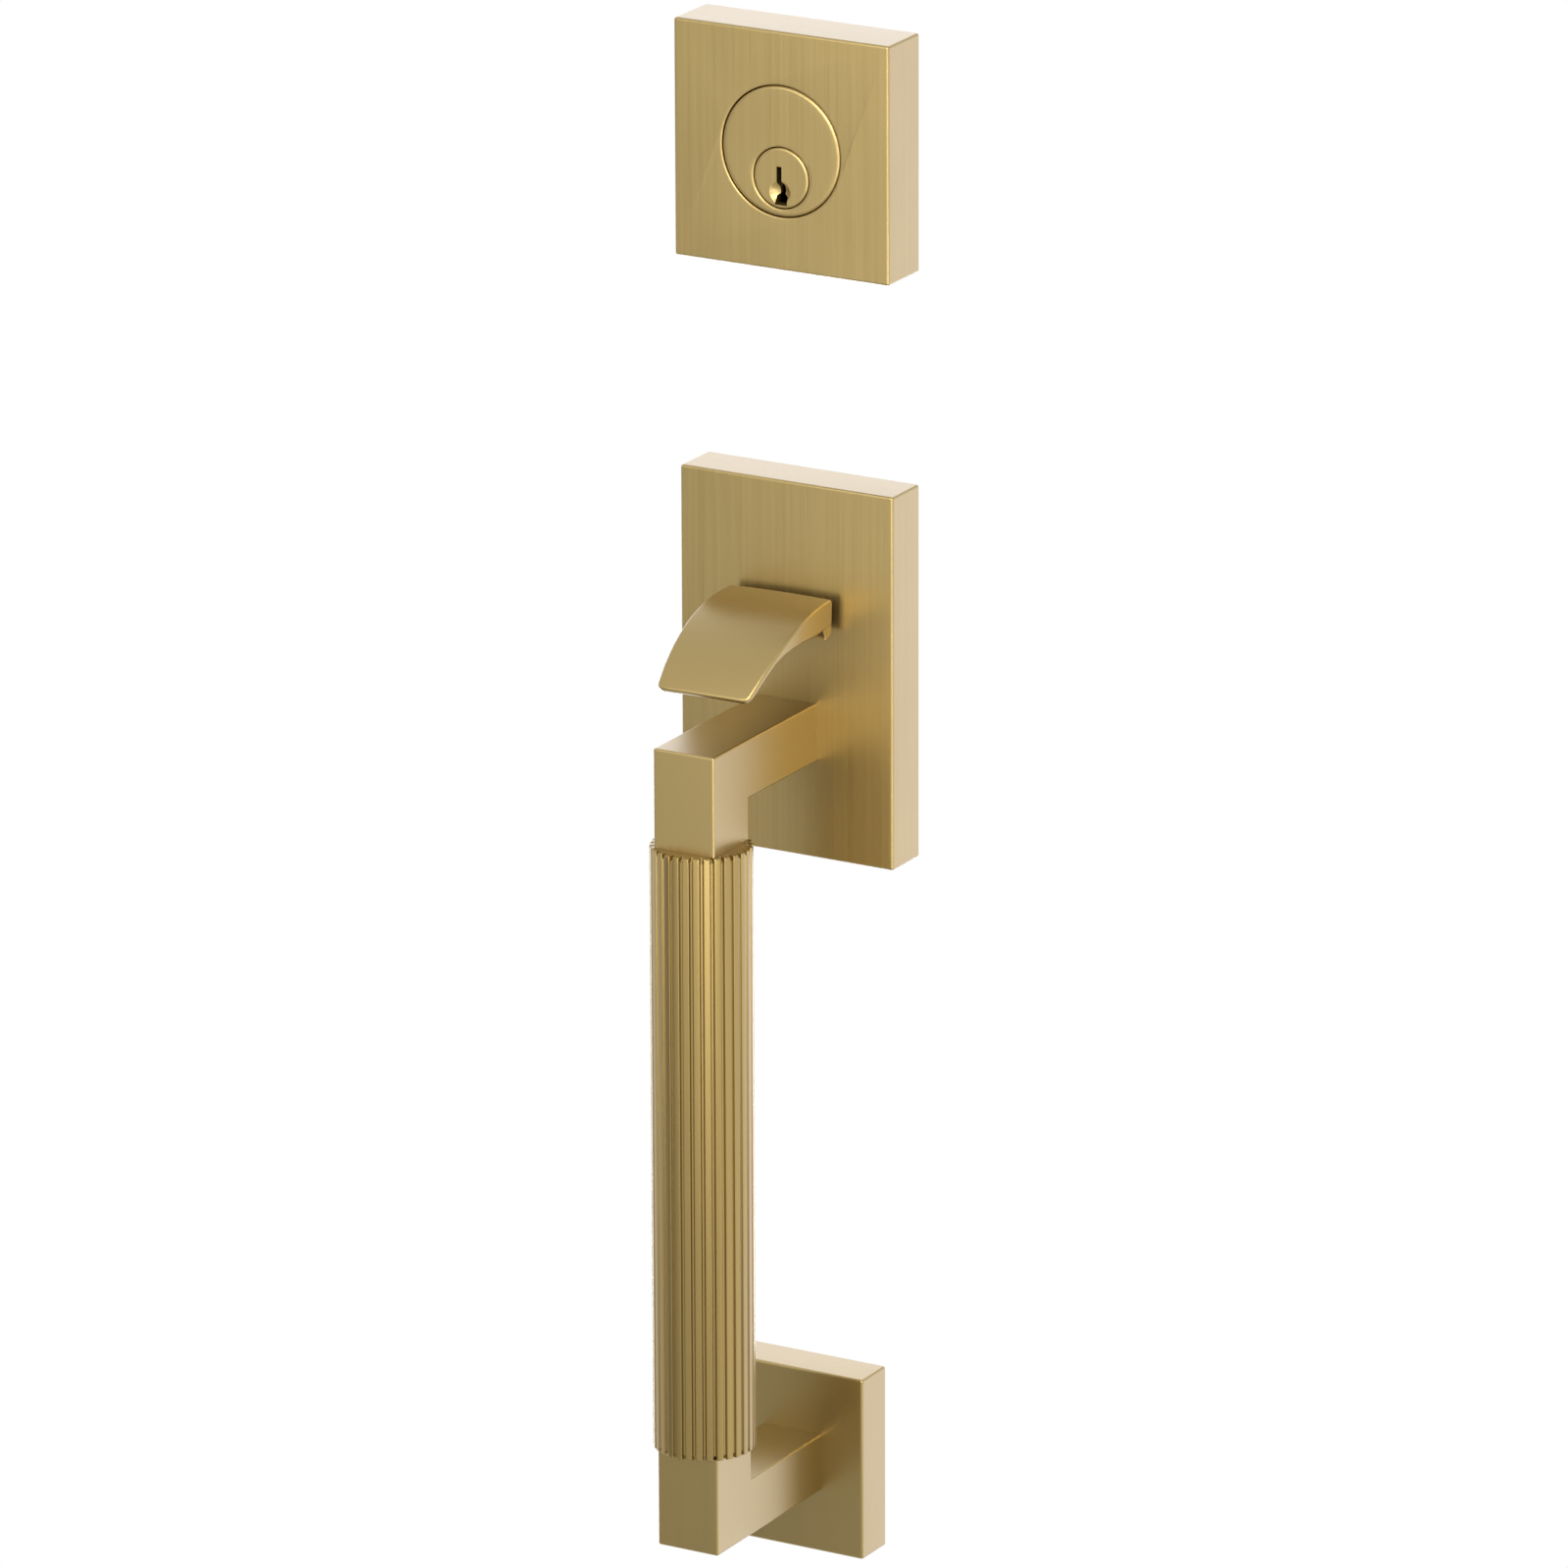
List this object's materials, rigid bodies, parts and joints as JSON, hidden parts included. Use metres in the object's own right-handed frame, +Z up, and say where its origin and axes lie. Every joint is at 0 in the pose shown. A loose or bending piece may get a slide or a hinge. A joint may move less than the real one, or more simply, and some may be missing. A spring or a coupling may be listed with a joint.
{
  "type": "entry door handleset",
  "caption": "Exterior door entry set: square deadbolt cover with key cylinder, thumbpiece escutcheon, and a grip with a fluted round barrel between square elbows.",
  "frame": {"origin": "on the door face and the upright centre line, in the middle of the upper cover's lower rim", "axes": "+X right and +Z up as seen from outside the door, +Y into the door, away from the grip"},
  "size_m": [0.0636, 0.1139, 0.4174],
  "materials": {
    "satin_brass": "satin, fine brushed grain",
    "cylinder_brass": "satin, turned",
    "inner_brass": "plain machined",
    "zinc_steel": "zinc plated",
    "spring_steel": "plain spring wire and clips"
  },
  "bodies": {
    "root": {"deadbolt_housing": "satin_brass", "cylinder_body": "cylinder_brass", "chamber_cap": "inner_brass", "cylinder_sleeve": "zinc_steel", "deadbolt_base_plate": "zinc_steel", "deadbolt_plate_screw_1": "zinc_steel", "deadbolt_plate_screw_2": "zinc_steel", "deadbolt_plate_screw_3": "zinc_steel", "deadbolt_plate_screw_4": "zinc_steel", "deadbolt_post_1": "zinc_steel", "deadbolt_post_2": "zinc_steel", "driver_pin_1": "inner_brass", "driver_pin_2": "inner_brass", "driver_pin_3": "inner_brass", "driver_pin_4": "inner_brass", "driver_pin_5": "inner_brass", "pin_spring_1": "spring_steel", "pin_spring_2": "spring_steel", "pin_spring_3": "spring_steel", "pin_spring_4": "spring_steel", "pin_spring_5": "spring_steel", "upper_escutcheon": "satin_brass", "chassis_plate": "zinc_steel", "chassis_screw_1": "zinc_steel", "chassis_screw_2": "zinc_steel", "chassis_screw_3": "zinc_steel", "chassis_screw_4": "zinc_steel", "handle_post_1": "zinc_steel", "handle_post_2": "zinc_steel", "thumb_pivot_pin": "zinc_steel", "pivot_pin_clip": "spring_steel", "thumb_return_spring": "spring_steel", "upper_arm_screw": "zinc_steel", "upper_arm_washer": "zinc_steel", "upper_elbow": "satin_brass", "fluted_barrel": "satin_brass", "grip_tie_rod": "zinc_steel", "lower_elbow": "satin_brass", "lower_escutcheon": "satin_brass", "lower_arm_screw": "zinc_steel", "lower_arm_washer": "zinc_steel", "lower_base_plate": "zinc_steel", "lower_plate_screw_1": "zinc_steel", "lower_plate_screw_2": "zinc_steel", "lower_post": "zinc_steel"},
    "thumb_lever": {"thumbpiece": "satin_brass"},
    "spindle": {"spindle_hub": "zinc_steel", "hub_retaining_ring": "spring_steel", "latch_spindle": "zinc_steel"},
    "plug": {"cylinder_plug": "cylinder_brass", "key_pin_1": "inner_brass", "key_pin_2": "inner_brass", "key_pin_3": "inner_brass", "key_pin_4": "inner_brass", "key_pin_5": "inner_brass", "plug_retainer": "inner_brass", "tailpiece": "zinc_steel"}
  },
  "joints": [
    {"name": "thumb_press", "type": "hinge", "parent": "root", "child": "thumb_lever", "pos_m": [0, -0.0068, 0.0617], "axis": [1, 0, 0], "range_deg": [0, 12], "stiffness_Nm_per_rad": 0.4, "springref_deg": -20.05, "deforming": ["thumb_return_spring"]},
    {"name": "spindle_turn", "type": "hinge", "parent": "root", "child": "spindle", "pos_m": [0, 0, 0.0497], "axis": [0, -1, 0], "range_deg": [0, 30]},
    {"name": "plug_turn", "type": "hinge", "parent": "root", "child": "plug", "pos_m": [0, 0, 0.1823], "axis": [0, 1, 0], "range_deg": [-90, 90]}
  ],
  "couplings": [
    {"joint": "spindle_turn", "follows": "thumb_press", "ratio": 2.5}
  ]
}
